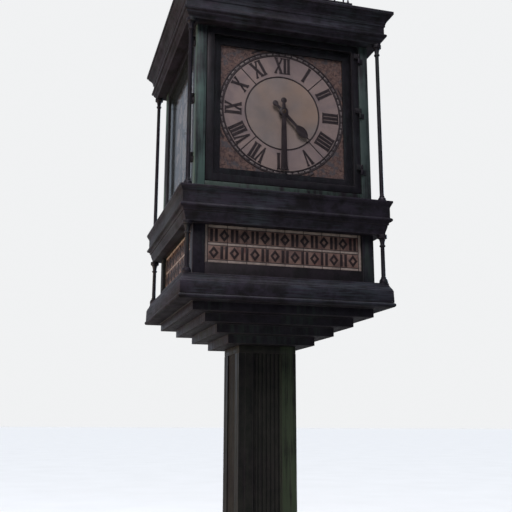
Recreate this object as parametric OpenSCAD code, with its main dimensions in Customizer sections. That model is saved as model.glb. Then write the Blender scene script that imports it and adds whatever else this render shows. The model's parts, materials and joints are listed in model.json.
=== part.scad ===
// Four-sided street clock: a glazed dial chamber over a leaded-glass sign tier, carried on a
// stepped corbel and a fluted square post.  Units: mm.  +Z up, the front dial faces -Y, and the
// origin is at the centre of the footing plate's underside.

/* [Base and post] */
// Width of the square footing plate
plate_w = 800; // [760:10:1200]
// Thickness of the footing plate
plate_t = 25; // [20:1:40]
// Radius of the four anchor holes
anchor_r = 14; // [8:1:18]
// Radius of the conduit entry in the footing plate
conduit_r = 60; // [25:1:70]
// Width of the plinth's skirting
skirt_w = 680; // [640:10:740]
// Height of the plinth's skirting
skirt_h = 120; // [60:5:200]
// Width of the plinth's upright die
die_w = 600; // [540:10:620]
// Height of the die above the skirting
die_h = 440; // [420:10:700]
// Wall thickness of the plinth casting
plinth_wall = 12; // [8:1:16]
// Height of the moulding between plinth and post
plinth_cap_h = 95; // [80:5:150]
// Width of the square post
post_w = 352; // [340:2:430]
// Height of the post
post_h = 1359; // [1000:10:1800]
// Wall of the post casing at its corners
post_wall = 26; // [24:1:34]
// Flutes on each face of the post
flutes = 7; // [3:1:8]
// Radius of each flute
flute_r = 9; // [6:0.5:10]
// Radius of the four tie rods inside the post
tie_rod_r = 12; // [8:1:14]

/* [Access door] */
// Width of the opening in the back of the plinth
access_w = 260; // [180:10:300]
// Height of the opening
access_h = 320; // [240:10:380]
// Thickness of the access door
access_t = 8; // [6:1:12]

/* [Corbel and ledges] */
// Height of each step of the corbel
step_h = 48.5; // [35:0.5:70]
// Number of corbel steps
steps = 4; // [3:1:5]
// Half width of the corbel's lowest step beyond the post
corbel_out = 88; // [60:2:110]
// Wall of the corbel and of the decks
sheet_t = 8; // [5:1:12]
// Height of the ledge under the sign tier
base_ledge_h = 140; // [140:5:180]
// Height of the ledge between sign tier and dial chamber
mid_ledge_h = 197; // [190:1:240]
// Height of the cornice
cornice_h = 198; // [195:1:240]

/* [Sign tier] */
// Height of the sign tier between its ledges
sign_tier_h = 287; // [240:1:360]
// Height of the leaded sign panels
sign_h = 218; // [180:1:218]
// Width of the corner piers of the sign tier
lower_pier_w = 70; // [50:1:80]
// Shaft diameter of the lower corner columns
lower_column_d = 35; // [26:1:42]

/* [Dial chamber] */
// Visible width of each square dial panel
dial_w = 764; // [600:4:960]
// Width of the bezel between dial and door
bezel_w = 48; // [40:1:60]
// Width of the door's stiles and rails
door_rail_w = 41; // [34:1:50]
// Gap round each door
door_gap = 4; // [3:0.5:6]
// Width of the chamber's corner piers
pier_w = 60; // [50:1:80]
// Height of the sill under each door
sill_h = 56; // [40:1:80]
// Shaft diameter of the upper corner columns
upper_column_d = 25; // [20:1:32]

/* [Hands and motion work] */
// Length of the minute hand from its pivot
minute_hand_l = 363; // [240:1:370]
// Length of the hour hand from its pivot
hour_hand_l = 238; // [180:1:260]
// Length of the hands' tails
hand_tail_l = 84; // [50:1:100]
// Thickness of the hands
hand_t = 3; // [2:0.5:3.5]
// Module of the motion-work gears
gear_module = 1.5; // [1.4:0.1:1.8]
// Radius of the minute arbor
arbor_r = 5; // [4:0.25:6]
// Wall of the hour pipe
pipe_wall = 4; // [2:0.25:4.5]
// Radial running clearance of arbors, pipes and pins
running = 0.05; // [0.03:0.01:0.1]

/* [Roof] */
// Rise of the roof from the cornice to its deck
roof_rise = 60; // [40:1:90]
// Setback of the cresting from the cornice's edge
crest_setback = 190; // [150:1:260]
// Height of the pierced cresting
crest_h = 132; // [110:1:160]
// Thickness of the cresting
crest_t = 8; // [5:1:12]

/* [Hidden] */
$fn = 64;
SIDES = ["front", "right", "back", "left"];
seat = 0.2;            // gap in a mitre or round a seated panel
pocket = 0.3;          // gap between touching curved pieces that move

// Widths
dial_half = dial_w / 2;
door_in = dial_half + bezel_w;
door_half = door_in + door_rail_w;
bay_half = door_half + door_gap;
chamber_half = bay_half + pier_w;
tier_half = chamber_half + 2;
post_half = post_w / 2;
plate_half = plate_w / 2;
skirt_half = skirt_w / 2;
die_half = die_w / 2;
anchor_spacing = (plate_w + skirt_w) / 2;
corbel_low = post_half + corbel_out;
corbel_top = tier_half - 9;
post_in = post_half - post_wall;
rod_at = post_in - tie_rod_r - 18;
upper_column_at = chamber_half + 45;
lower_column_at = tier_half + 38;

// Heights
skirt_z = plate_t;
die_z = skirt_z + skirt_h;
cap_z = die_z + die_h;
post_z = cap_z + plinth_cap_h;
corbel_z = post_z + post_h;
ledge_z = corbel_z + steps * step_h;
tier_z = ledge_z + base_ledge_h;
mid_z = tier_z + sign_tier_h;
floor_z = mid_z + mid_ledge_h;
dial_z = floor_z + sill_h + bay_half;
cornice_z = dial_z + bay_half - 2;
roof_z = cornice_z + cornice_h;
deck_z = roof_z + roof_rise;
sign_z = tier_z + (mid_z + 11 - tier_z - sign_h) / 2 + 35;

// Distances outward from the clock's axis to the planes of a side
door_front = chamber_half - 3;
door_t = 24;
glass_t = 4;
glass_d = door_front - 12;
minute_hand_d = glass_d - 9;
hour_hand_d = minute_hand_d - 5 - hand_t;
bezel_t = 13;
panel_t = 10;
panel_front = hour_hand_d - 16;
panel_back = panel_front - panel_t;
bracket_t = 10;
bracket_d = panel_back - 2 - bracket_t;
hour_wheel_d = bracket_d - 10;
minute_wheel_d = hour_wheel_d - 10;
back_plate_d = minute_wheel_d - 13;
plate_thick = 8;
wheel_t = 6;
motor_l = 50;
motor_r = 45;
sign_d = tier_half - 20;
sign_t = 10;
rail_t = 37;

// Motion work: 45/15 and 48/12 give the hour hand one turn in twelve
cannon_teeth = 15;
minute_wheel_teeth = 45;
stud_pinion_teeth = 12;
hour_wheel_teeth = 48;
gear_distance = gear_module * (cannon_teeth + minute_wheel_teeth) / 2;
pipe_in = arbor_r + running;
pipe_r = pipe_in + pipe_wall;
stud_r = 4;
rest_minute = 180;
rest_hour = 135;

// Door hinges
pin_r = 4;
knuckle_r = 8;
knuckle_h = 30;
hinge_leaf_t = 6;
hinge_x = bay_half;
hinge_d = chamber_half + knuckle_r + 0.5;
hinge_rises = [-0.76 * door_half, 0, 0.76 * door_half];
access_z = die_z + (die_h - access_h) / 2;
access_edge = access_w / 2 + 15;
access_hinge_x = access_edge + knuckle_r + 1;
access_hinge_d = die_half + knuckle_r + 0.5;
access_rises = [0.15 * access_h, 0.75 * access_h];

BRONZE = "#2a2529";
PATINA = "#363f42";
STEEL = "#5b5d60";
GLASS = "#8d8580";
BRASS = "#8a7a4a";

// ---- Shared shapes -------------------------------------------------------------------------

// Turns a shape made for the front side onto side k
module on_side(k) rotate([0, 0, 90 * k]) children();

// Stands a flat drawing up on the front side, d outward from the axis and t thick, with its
// centre at height z
module facing(d, t, z = dial_z) translate([0, -d, z]) rotate([90, 0, 0])
    linear_extrude(t) children();

// A block standing on z between half widths, x from x0 to x1, outward from d0 to d1
module block(x0, x1, d0, d1, z0, z1) translate([x0, -d1, z0]) cube([x1 - x0, d1 - d0, z1 - z0]);

// A square box tube or plate of outer half width a and inner half width b
module square_ring(a, b, h) difference() {
    translate([-a, -a, 0]) cube([2 * a, 2 * a, h]);
    translate([-b, -b, -1]) cube([2 * b, 2 * b, h + 2]);
}

// A flat square frame drawing
module frame_2d(a, b) difference() {
    square(2 * a, center = true);
    square(2 * b, center = true);
}

// Points of an S-shaped curve between two points of a profile
function cyma(p, q, n = 10) = [for (i = [0:n])
    [p[0] + (q[0] - p[0]) * (1 - cos(180 * i / n)) / 2, p[1] + (q[1] - p[1]) * i / n]];

// Points of a bead: a half round of radius r about (w, z)
function bead(w, z, r, n = 10) = [for (i = [0:n])
    [w + r * cos(-90 + 180 * i / n), z + r * sin(-90 + 180 * i / n)]];

// Four mitred lengths of moulding round the clock; pts are [half width, height] from level z
module mitred(pts, z) {
    reach = max([for (p = pts) p[0]]) + 1;
    top = max([for (p = pts) p[1]]) + 1;
    for (k = [0:3]) on_side(k) translate([0, 0, z]) intersection() {
        rotate([90, 0, 90]) linear_extrude(2 * reach, center = true)
            polygon([for (p = pts) [-p[0], p[1]]]);
        translate([0, 0, -1]) linear_extrude(top + 1)
            polygon([[0, -seat], [-reach, -reach - seat], [reach, -reach - seat]]);
    }
}

// A turned column: foot knob, tapering shaft and bell capital
module column(d, h) {
    r = d / 2;
    foot = 36;
    bell = 61;
    rotate_extrude() polygon(concat(
        [[0, 0], [2 * r, 0], [2 * r, 8]],
        [for (i = [0:6]) [r + r * cos(15 * i), 8 + (foot - 14) * sin(15 * i)]],
        [[1.25 * r, foot - 6], [1.25 * r, foot], [r, foot + 4]],
        [[0.92 * r, h - bell - 10], [1.35 * r, h - bell - 8], [1.35 * r, h - bell]],
        [for (i = [0:6]) [r + r * (1 - cos(15 * i)), h - bell + (bell - 20) * sin(15 * i)]],
        [[2.2 * r, h - 20], [2.2 * r, h], [0, h]]));
}

// Involute angle in degrees at pressure angle a
function inv_deg(a) = tan(a) * 180 / PI - a;

// Spur gear drawing with one tooth centred on the angle at; the wheels have a short addendum
module gear_2d(teeth, at) {
    pitch = gear_module * teeth / 2;
    base = pitch * cos(20);
    root = pitch - 1.2 * gear_module;
    tip = pitch + 0.75 * gear_module;
    low = max(base, root) + 0.01;
    backlash = 0.08 / pitch * 180 / PI;
    half = 90 / teeth - backlash + inv_deg(20);
    radii = [low, pitch, (pitch + tip) / 2, tip];
    flank = [for (r = radii) [r, half - inv_deg(acos(base / r))]];
    side = concat([[root, flank[0][1]]], flank);
    n = len(side);
    polygon([for (i = [0:teeth - 1]) for (j = [0:2 * n - 1])
        let (s = j < n ? side[j] : side[2 * n - 1 - j],
             a = at + 360 * i / teeth + (j < n ? -s[1] : s[1]))
        [s[0] * cos(a), s[0] * sin(a)]]);
}

// Fixed half of a lift-off hinge: leaf, lower knuckle and its upright pin
module hinge_fixed(x, d, z) translate([x, -d, z]) {
    cylinder(r = knuckle_r, h = knuckle_h);
    translate([0, knuckle_r + 0.5 - hinge_leaf_t, 0]) cube([26, hinge_leaf_t, knuckle_h]);
    cylinder(r = pin_r, h = 2 * knuckle_h - 2);
}

// Moving knuckle that drops over the pin, joined to the door by a strap that reaches in to x1
module hinge_moving(x, d, z, x1, strap_d) difference() {
    translate([0, 0, z + knuckle_h + pocket]) {
        translate([x, -d, 0]) cylinder(r = knuckle_r, h = knuckle_h);
        block(x1, x, strap_d, d + 2, 0, knuckle_h);
    }
    translate([x, -d, z]) cylinder(r = pin_r + running, h = 3 * knuckle_h);
}

// ---- Base and post -------------------------------------------------------------------------

module footing_plate() color(STEEL) difference() {
    translate([-plate_half, -plate_half, 0]) cube([plate_w, plate_w, plate_t]);
    translate([0, 0, -1]) cylinder(r = conduit_r, h = plate_t + 2);
    for (x = [-1, 1], y = [-1, 1])
        translate([x * anchor_spacing / 2, y * anchor_spacing / 2, -1])
            cylinder(r = anchor_r, h = plate_t + 2);
}

module plinth() color(BRONZE) difference() {
    union() {
        translate([0, 0, skirt_z]) square_ring(skirt_half, die_half - plinth_wall, skirt_h);
        translate([0, 0, die_z]) square_ring(die_half, die_half - plinth_wall, die_h);
    }
    translate([0, 0, skirt_z - 1])
        square_ring(skirt_half - plinth_wall, die_half - plinth_wall - 1, skirt_h - plinth_wall + 1);
    on_side(2) block(-access_w / 2, access_w / 2, die_half - 2 * plinth_wall, die_half + 1,
        access_z, access_z + access_h);
}

module plinth_cap() color(BRONZE) {
    out = die_half + 16;
    low = post_half + 24;
    mitred(concat([[post_in, 0], [out, 0], [out, 18]],
        cyma([out - 8, 22], [low + 8, plinth_cap_h - 26]),
        [[low, plinth_cap_h - 22], [low, plinth_cap_h], [post_in, plinth_cap_h]]), cap_z);
}

module access_door() color(BRONZE) on_side(2) {
    block(-access_edge, access_edge, die_half + 0.4, die_half + 0.4 + access_t,
        access_z - 15, access_z + access_h + 15);
    block(-access_edge + 30, access_edge - 30, die_half + access_t, die_half + access_t + 5,
        access_z + 20, access_z + access_h - 20);
    for (rise = access_rises)
        hinge_moving(access_hinge_x, access_hinge_d, access_z + rise, access_edge - 25,
            die_half + 2);
}

module tie_rods() color(STEEL) for (x = [-1, 1], y = [-1, 1])
    translate([x * rod_at, y * rod_at, plate_t])
        cylinder(r = tie_rod_r, h = ledge_z + sheet_t + 40 - plate_t);

module tie_rod_nuts() color(STEEL) for (x = [-1, 1], y = [-1, 1])
    translate([x * rod_at, y * rod_at, ledge_z + sheet_t]) difference() {
        cylinder(r = 1.75 * tie_rod_r, h = 20, $fn = 6);
        translate([0, 0, -1]) cylinder(r = tie_rod_r + running, h = 22);
    }

// Half outline of one post face: a recessed fluted panel between plain corner strips
module post_outline() {
    panel = post_half / 2;
    recess = 8;
    pitch = 2 * panel / flutes;
    difference() {
        square(post_w, center = true);
        for (k = [0:3]) rotate(90 * k) {
            translate([-panel, -post_half - 1]) square([2 * panel, recess + 1]);
            for (i = [0:flutes - 1])
                translate([-panel + pitch * (i + 0.5), -post_half + recess - 2])
                    circle(r = flute_r);
            for (side = [-1, 1])
                translate([side * (panel + 50), -post_half]) circle(r = 2.5, $fn = 16);
        }
        square(2 * post_in, center = true);
    }
}

module post_casing() color(BRONZE) translate([0, 0, post_z]) {
    band = 45;
    square_ring(post_half, post_in, band);
    translate([0, 0, band]) linear_extrude(post_h - 2 * band) post_outline();
    translate([0, 0, post_h - band]) square_ring(post_half, post_in, band);
}

// ---- Corbel, ledges and sign tier ----------------------------------------------------------

module corbel() color(BRONZE) difference() {
    union() for (i = [0:steps - 1]) {
        half = corbel_low + i * (corbel_top - corbel_low) / (steps - 1);
        inner = i == 0 ? post_in : corbel_low + (i - 1) * (corbel_top - corbel_low) / (steps - 1)
            - sheet_t;
        translate([0, 0, corbel_z + i * step_h]) {
            square_ring(half, inner, sheet_t);
            square_ring(half, half - sheet_t, step_h);
        }
    }
    // drip groove under each step
    for (i = [0:steps - 1]) {
        half = corbel_low + i * (corbel_top - corbel_low) / (steps - 1);
        translate([0, 0, corbel_z + i * step_h - 1]) square_ring(half - 10, half - 16, 3);
    }
}

module base_ledge() color(BRONZE) mitred(concat(
    [[tier_half, 0], [tier_half + 74, 0]],
    bead(tier_half + 76, 13, 12),
    [[tier_half + 81, 27], [tier_half + 79, base_ledge_h - 45]],
    cyma([tier_half + 76, base_ledge_h - 42], [tier_half + 63, base_ledge_h - 14]),
    [[tier_half + 60, base_ledge_h - 12], [tier_half + 60, base_ledge_h],
     [tier_half, base_ledge_h]]), ledge_z);

module lower_piers() color(PATINA) for (x = [-1, 1], y = [-1, 1])
    translate([x * (tier_half - lower_pier_w / 2), y * (tier_half - lower_pier_w / 2),
        (ledge_z + sheet_t + floor_z - sheet_t) / 2])
        cube([lower_pier_w, lower_pier_w, floor_z - ledge_z - 2 * sheet_t], center = true);

// Flat bars between the piers: above and below each sign, and above and below each door
module frame_rails() color(BRONZE) for (k = [0:3]) on_side(k) {
    sign_half = tier_half - lower_pier_w;
    block(-sign_half, sign_half, tier_half - rail_t, tier_half, ledge_z + sheet_t, sign_z);
    block(-sign_half, sign_half, tier_half - rail_t, tier_half, sign_z + sign_h,
        floor_z - sheet_t);
    block(-bay_half, bay_half, chamber_half - 53, chamber_half - 2, floor_z, floor_z + sill_h);
    block(-bay_half, bay_half, chamber_half - 53, chamber_half - 2, dial_z + bay_half,
        roof_z - 20);
}

module sign_panels() color(GLASS) for (k = [0:3]) on_side(k)
    block(-(tier_half - lower_pier_w - seat), tier_half - lower_pier_w - seat,
        sign_d - sign_t, sign_d, sign_z + seat, sign_z + sign_h - seat);

module lower_columns() color(BRONZE) for (x = [-1, 1], y = [-1, 1])
    translate([x * lower_column_at, y * lower_column_at, tier_z])
        column(lower_column_d * 0.72, sign_tier_h);

module mid_ledge() color(BRONZE) mitred(concat(
    [[tier_half, 0]],
    cyma([tier_half + 52, 0], [tier_half + 64, 54]),
    [[tier_half + 70, 56], [tier_half + 70, 66], [tier_half + 75, 70]],
    bead(tier_half + 76, 84, 12),
    [[tier_half + 76, 99], [tier_half + 76, mid_ledge_h - 40]],
    cyma([tier_half + 78, mid_ledge_h - 38], [tier_half + 87, mid_ledge_h - 15]),
    [[tier_half + 91, mid_ledge_h - 13], [tier_half + 91, mid_ledge_h],
     [tier_half, mid_ledge_h]]), mid_z);

// ---- Dial chamber --------------------------------------------------------------------------

// Plate over the sign tier that carries the chamber
module deck(z, hole) translate([0, 0, z]) difference() {
    translate([-(tier_half - seat), -(tier_half - seat), 0])
        cube([2 * (tier_half - seat), 2 * (tier_half - seat), sheet_t]);
    translate([0, 0, -1]) cylinder(r = hole, h = sheet_t + 2);
    if (z < floor_z - sheet_t) for (x = [-1, 1], y = [-1, 1])
        translate([x * rod_at, y * rod_at, -1])
            cylinder(r = tie_rod_r + 1, h = sheet_t + 2);
}

module chamber_floor() color(STEEL) {
    deck(ledge_z, conduit_r);
    deck(floor_z - sheet_t, conduit_r / 2);
}

module upper_piers() color(PATINA) for (x = [-1, 1], y = [-1, 1])
    translate([x * (chamber_half - pier_w / 2), y * (chamber_half - pier_w / 2),
        (floor_z + roof_z) / 2]) cube([pier_w, pier_w, roof_z - floor_z], center = true);

module dial_bezels() color(BRONZE) for (k = [0:3]) on_side(k)
    facing(panel_front, bezel_t) frame_2d(bay_half, dial_half);

module upper_columns() color(BRONZE) for (x = [-1, 1], y = [-1, 1])
    translate([x * upper_column_at, y * upper_column_at, floor_z])
        column(upper_column_d, cornice_z - floor_z);

module cornice() color(BRONZE) difference() {
    mitred(concat(
        [[chamber_half, 0], [chamber_half + 62, 0]],
        cyma([chamber_half + 64, 4], [chamber_half + 82, 34]),
        bead(chamber_half + 83, 50, 12),
        [[chamber_half + 82, 65], [chamber_half + 82, cornice_h - 91]],
        [[chamber_half + 88, cornice_h - 87], [chamber_half + 88, cornice_h - 72]],
        cyma([chamber_half + 91, cornice_h - 70], [chamber_half + 120, cornice_h - 20]),
        [[chamber_half + 129, cornice_h - 18], [chamber_half + 129, cornice_h],
         [chamber_half, cornice_h]]), cornice_z);
    translate([0, 0, cornice_z + 12])
        square_ring(chamber_half + 52, chamber_half + 10, cornice_h - 24);
}

module dial_panel(k) color(GLASS) on_side(k) facing(panel_back, panel_t) difference() {
    square(2 * (dial_half + panel_t), center = true);
    circle(r = pipe_r + 4);
}

// Bracket bar across the bay with the two movement plates, their pillars and the motor
module movement(k) color(STEEL) on_side(k) {
    bar_half = 30;
    bar_reach = bracket_d - 2;
    foot_from = dial_half + panel_t + 4;
    plate_x = 52;
    low = -50;
    high = gear_distance + 50;
    inset = 8;
    difference() {
        union() {
            facing(bracket_d, bracket_t) union() {
                square([2 * bar_reach, 2 * bar_half], center = true);
                translate([-plate_x, low]) square([2 * plate_x, high - low]);
            }
            for (side = [-1, 1])
                facing(bracket_d + bracket_t - 1, panel_front - bracket_d - bracket_t + 1)
                    translate([side * (foot_from + bar_reach) / 2, 0])
                        square([bar_reach - foot_from, 2 * bar_half], center = true);
            facing(back_plate_d, plate_thick)
                translate([-plate_x, low]) square([2 * plate_x, high - low]);
            for (x = [-1, 1], y = [low + inset, high - inset])
                facing(back_plate_d + plate_thick - 1, bracket_d - back_plate_d - plate_thick + 2)
                    translate([x * (plate_x - inset), y]) circle(r = 4);
            facing(back_plate_d - motor_l, motor_l + 1) circle(r = motor_r);
        }
        facing(bracket_d - 1, bracket_t + 2) circle(r = pipe_r + running);
        facing(bracket_d - 1, bracket_t + 2) translate([0, gear_distance])
            circle(r = stud_r + running);
        facing(back_plate_d - 1, plate_thick + 2) circle(r = arbor_r + running);
        facing(back_plate_d - 1, plate_thick + 2) translate([0, gear_distance])
            circle(r = stud_r + running);
    }
}

// ---- Doors ---------------------------------------------------------------------------------

module door(k) color(BRONZE) on_side(k) difference() {
    union() {
        facing(door_front - door_t, door_t) frame_2d(door_half, door_in);
        for (rise = hinge_rises)
            hinge_moving(hinge_x, hinge_d, dial_z + rise, door_half - 26, door_front - 1);
    }
    facing(glass_d - seat, glass_t + 2 * seat) square(2 * (door_in + 6 + seat), center = true);
}

module door_glass(k) color(GLASS, 0.3) on_side(k)
    facing(glass_d, glass_t) square(2 * (door_in + 6), center = true);

module hinge_halves() color(BRONZE) {
    for (k = [0:3], rise = hinge_rises) on_side(k) hinge_fixed(hinge_x, hinge_d, dial_z + rise);
    for (rise = access_rises)
        on_side(2) hinge_fixed(access_hinge_x, access_hinge_d, access_z + rise);
}

// ---- Hands and motion work -----------------------------------------------------------------

// One hand: a flat blade outline, a hub and a round tail weight, bored for its arbor or pipe
module hand(d, turn, hub_r, bore_r, blade) {
    weight_r = 18;
    difference() {
        union() {
            facing(d, hand_t) rotate(-turn) polygon(blade);
            facing(d, hand_t) circle(r = hub_r);
            facing(d, hand_t) rotate(-turn) translate([0, weight_r - 4 - hand_tail_l])
                circle(r = weight_r);
            children();
        }
        facing(d - 1, hand_t + 2) circle(r = bore_r);
    }
}

// Straight baton that widens towards its square end
module minute_hand(k) color(BRONZE) on_side(k)
    hand(minute_hand_d, rest_minute, 27, arbor_r + running,
        [[-13, 0], [-20, minute_hand_l - 8], [-14, minute_hand_l], [14, minute_hand_l],
         [20, minute_hand_l - 8], [13, 0], [8, 12 - hand_tail_l], [-8, 12 - hand_tail_l]]);

// Slim hand with a leaf near its point
module hour_hand(k) {
    leaf = 0.67 * hour_hand_l;
    leaf_r = 62;
    leaf_w = 28;
    color(BRONZE) on_side(k)
        hand(hour_hand_d, rest_hour, 30, pipe_r + running,
            [[-11, 0], [-8, leaf - 30], [-4, hour_hand_l - 20], [0, hour_hand_l],
             [4, hour_hand_l - 20], [8, leaf - 30], [11, 0],
             [7, 12 - hand_tail_l], [-7, 12 - hand_tail_l]])
            intersection_for (side = [-1, 1])
                facing(hour_hand_d, hand_t) rotate(-rest_hour)
                    translate([side * (leaf_r - leaf_w), leaf]) circle(r = leaf_r);
}

// Arbor with its cannon pinion behind, and the hand nut at its tip
module minute_arbor(k) color(BRASS) on_side(k) {
    facing(back_plate_d + 1, glass_d - 6 - back_plate_d) circle(r = arbor_r);
    facing(minute_wheel_d - 1, wheel_t + 2) gear_2d(cannon_teeth, 90);
    facing(minute_hand_d + hand_t + 0.1, 3) circle(r = arbor_r + 5);
}

// Hour wheel on its pipe, which runs on the minute arbor
module hour_wheel(k) color(BRASS) on_side(k) difference() {
    union() {
        facing(hour_wheel_d, hour_hand_d + hand_t + 1 - hour_wheel_d) circle(r = pipe_r);
        facing(hour_wheel_d, wheel_t) gear_2d(hour_wheel_teeth, 90 + 180 / hour_wheel_teeth);
    }
    facing(hour_wheel_d - 1, glass_d - hour_wheel_d) circle(r = pipe_in);
}

// Intermediate wheel and its pinion on one stud between the plates
module minute_wheel(k) color(BRASS) on_side(k) translate([0, 0, gear_distance]) {
    facing(back_plate_d + 1, bracket_d + bracket_t - back_plate_d - 2) circle(r = stud_r);
    facing(minute_wheel_d, wheel_t)
        gear_2d(minute_wheel_teeth, 270 + 180 / minute_wheel_teeth);
    facing(hour_wheel_d - 1, wheel_t + 2) gear_2d(stud_pinion_teeth, 270);
}

// ---- Lighting ------------------------------------------------------------------------------

lamp_at = 95;
lamp_l = 620;
lamp_disc_t = 6;

module lamp_mast() color(STEEL) {
    translate([0, 0, floor_z]) cylinder(r = 70, h = 10);
    translate([0, 0, floor_z]) cylinder(r = 20, h = deck_z - 2 - floor_z);
    for (end = [-1, 1])
        translate([0, 0, dial_z + end * (lamp_l + lamp_disc_t) / 2 - lamp_disc_t / 2])
            cylinder(r = lamp_at + 30, h = lamp_disc_t);
}

module lamps() color("#e8e6df") for (k = [0:3]) rotate(45 + 90 * k)
    translate([lamp_at, 0, dial_z - lamp_l / 2 + seat]) cylinder(r = 13, h = lamp_l - 2 * seat);

// ---- Roof ----------------------------------------------------------------------------------

crest_half = chamber_half + 129 - crest_setback;

// Four roof panels that rise to a flat deck and meet at its centre
module roof() color(BRONZE) {
    eave = chamber_half + 121;
    t = 5;
    mitred([[eave, 0], [eave, t], [crest_half + 10, roof_rise + t], [0.1, roof_rise + t],
        [0.1, roof_rise], [crest_half + 6, roof_rise]], roof_z);
}

// Pierced cresting: a row of rings between rails, with a spear over every joint
module crest_2d() {
    rail = 14;
    ring_r = 26;
    ring_w = 8;
    count = round(2 * crest_half / (2 * ring_r + 8));
    pitch = 2 * crest_half / count;
    mid = rail + ring_r - 2;
    difference() {
        union() {
            translate([-crest_half, 0]) square([2 * crest_half, rail]);
            for (i = [0:count - 1]) translate([-crest_half + (i + 0.5) * pitch, mid])
                circle(r = ring_r);
            translate([-crest_half, mid + ring_r - 6]) square([2 * crest_half, 12]);
            for (i = [1:count - 1])
                translate([-crest_half + i * pitch, 0])
                    polygon([[-4, 0], [-4, crest_h - 44], [-13, crest_h - 30], [0, crest_h],
                        [13, crest_h - 30], [4, crest_h - 44], [4, 0]]);
        }
        for (i = [0:count - 1]) translate([-crest_half + (i + 0.5) * pitch, mid])
            circle(r = ring_r - ring_w);
    }
}

module cresting() color(BRONZE) for (k = [0:3]) on_side(k) translate([0, 0, deck_z + 5])
    intersection() {
        facing(crest_half - crest_t, crest_t, 0) crest_2d();
        translate([0, 0, -1]) linear_extrude(crest_h + 2)
            polygon([[0, -seat], [-2 * crest_half, -2 * crest_half - seat],
                [2 * crest_half, -2 * crest_half - seat]]);
    }

// ---- Nodes ---------------------------------------------------------------------------------

footing_plate();
plinth();
plinth_cap();
access_door();
tie_rods();
tie_rod_nuts();
post_casing();
corbel();
base_ledge();
lower_piers();
frame_rails();
sign_panels();
lower_columns();
mid_ledge();
chamber_floor();
upper_piers();
dial_bezels();
upper_columns();
cornice();
roof();
cresting();
hinge_halves();
lamp_mast();
lamps();
for (k = [0:3]) {
    dial_panel(k);
    movement(k);
    door(k);
    door_glass(k);
    minute_hand(k);
    hour_hand(k);
    minute_arbor(k);
    hour_wheel(k);
    minute_wheel(k);
}
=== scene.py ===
import json
import math
import bpy
from mathutils import Matrix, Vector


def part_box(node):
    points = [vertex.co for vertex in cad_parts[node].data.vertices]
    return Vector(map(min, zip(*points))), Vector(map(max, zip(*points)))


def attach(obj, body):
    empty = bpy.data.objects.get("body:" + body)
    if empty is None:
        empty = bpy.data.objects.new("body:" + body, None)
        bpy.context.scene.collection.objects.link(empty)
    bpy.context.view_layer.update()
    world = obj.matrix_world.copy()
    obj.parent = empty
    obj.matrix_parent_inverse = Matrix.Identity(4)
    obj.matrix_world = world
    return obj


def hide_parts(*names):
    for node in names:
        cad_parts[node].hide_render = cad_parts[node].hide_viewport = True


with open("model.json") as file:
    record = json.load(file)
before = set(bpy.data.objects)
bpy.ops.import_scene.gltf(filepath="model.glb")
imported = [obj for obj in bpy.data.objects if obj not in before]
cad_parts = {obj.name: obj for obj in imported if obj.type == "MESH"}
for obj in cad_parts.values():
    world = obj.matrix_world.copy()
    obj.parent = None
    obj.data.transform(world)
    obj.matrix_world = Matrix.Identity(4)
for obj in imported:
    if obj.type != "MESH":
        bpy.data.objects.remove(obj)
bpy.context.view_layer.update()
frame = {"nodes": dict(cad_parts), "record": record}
scene = bpy.context.scene

# ---- Camera, pavement and studio light -----------------------------------------------------
# The camera stands at eye height on the pavement, a little to the left, and looks up at the head.
# The sky behind the clock is bright and the street in front of it dim, a warm softbox lights
# the left side, and one lamp straight overhead makes the pavement pale all over.
YAW, PITCH, ROLL = math.radians(15.74), math.radians(12.68), math.radians(0.22)
turn = (Matrix.Rotation(-YAW, 3, "Z") @ Matrix.Rotation(math.pi / 2 + PITCH, 3, "X")
        @ Matrix.Rotation(ROLL, 3, "Z"))
bpy.ops.object.camera_add(location=(-1.320, -4.4795, 1.5992), rotation=turn.to_euler())
camera = bpy.context.object
camera.data.sensor_width = 36.0
camera.data.lens = 53.2
camera.data.shift_x, camera.data.shift_y = 0.0107, -0.0088
camera.data.clip_end = 200.0
scene.camera = camera
scene.view_settings.view_transform = "Standard"


def paint(code):
    """sRGB hex colour as the linear colour that shaders take."""
    parts = [int(code[i:i + 2], 16) / 255 for i in (1, 3, 5)]
    return [c / 12.92 if c <= 0.04045 else ((c + 0.055) / 1.055) ** 2.4 for c in parts] + [1.0]


def add(tree, kind, settings, values):
    """Adds a node: settings are its own properties, values its sockets' values or links."""
    made = tree.nodes.new(kind)
    for name, value in settings.items():
        setattr(made, name, value)
    for name, value in values.items():
        if isinstance(value, bpy.types.NodeSocket):
            tree.links.new(value, made.inputs[name])
        else:
            made.inputs[name].default_value = value
    return made


def softbox(name, place, aim, size, watts, code):
    bpy.ops.object.light_add(type="AREA", location=place)
    lamp = bpy.context.object
    lamp.name = name
    lamp.data.shape = "DISK"
    lamp.data.size = size
    lamp.data.energy = watts
    lamp.data.color = paint(code)[:3]
    way = Matrix.Translation(aim).translation - Matrix.Translation(place).translation
    lamp.rotation_euler = way.to_track_quat("-Z", "Y").to_euler()


softbox("warm_softbox", (-7.5, 0.6, 0.9), (0, 0, 2.4), 3.0, 310, "#ffd9b0")
softbox("cool_softbox", (6.0, 4.5, 5.0), (0, 0, 3.0), 3.0, 330, "#cfe2ff")
softbox("front_softbox", (-2.6, -7.0, 10.4), (0, 0, 3.0), 5.5, 560, "#fbf0f2")
softbox("low_softbox", (-6.5, -4.0, 1.2), (0, 0, 1.4), 2.0, 60, "#fbf3e8")
bpy.ops.object.light_add(type="SUN", location=(0, 0, 12))
overhead = bpy.context.object
overhead.name = "overhead_sun"
overhead.data.energy = 2.75
overhead.data.angle = math.radians(12)
overhead.data.color = paint("#fbfcff")[:3]

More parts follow.
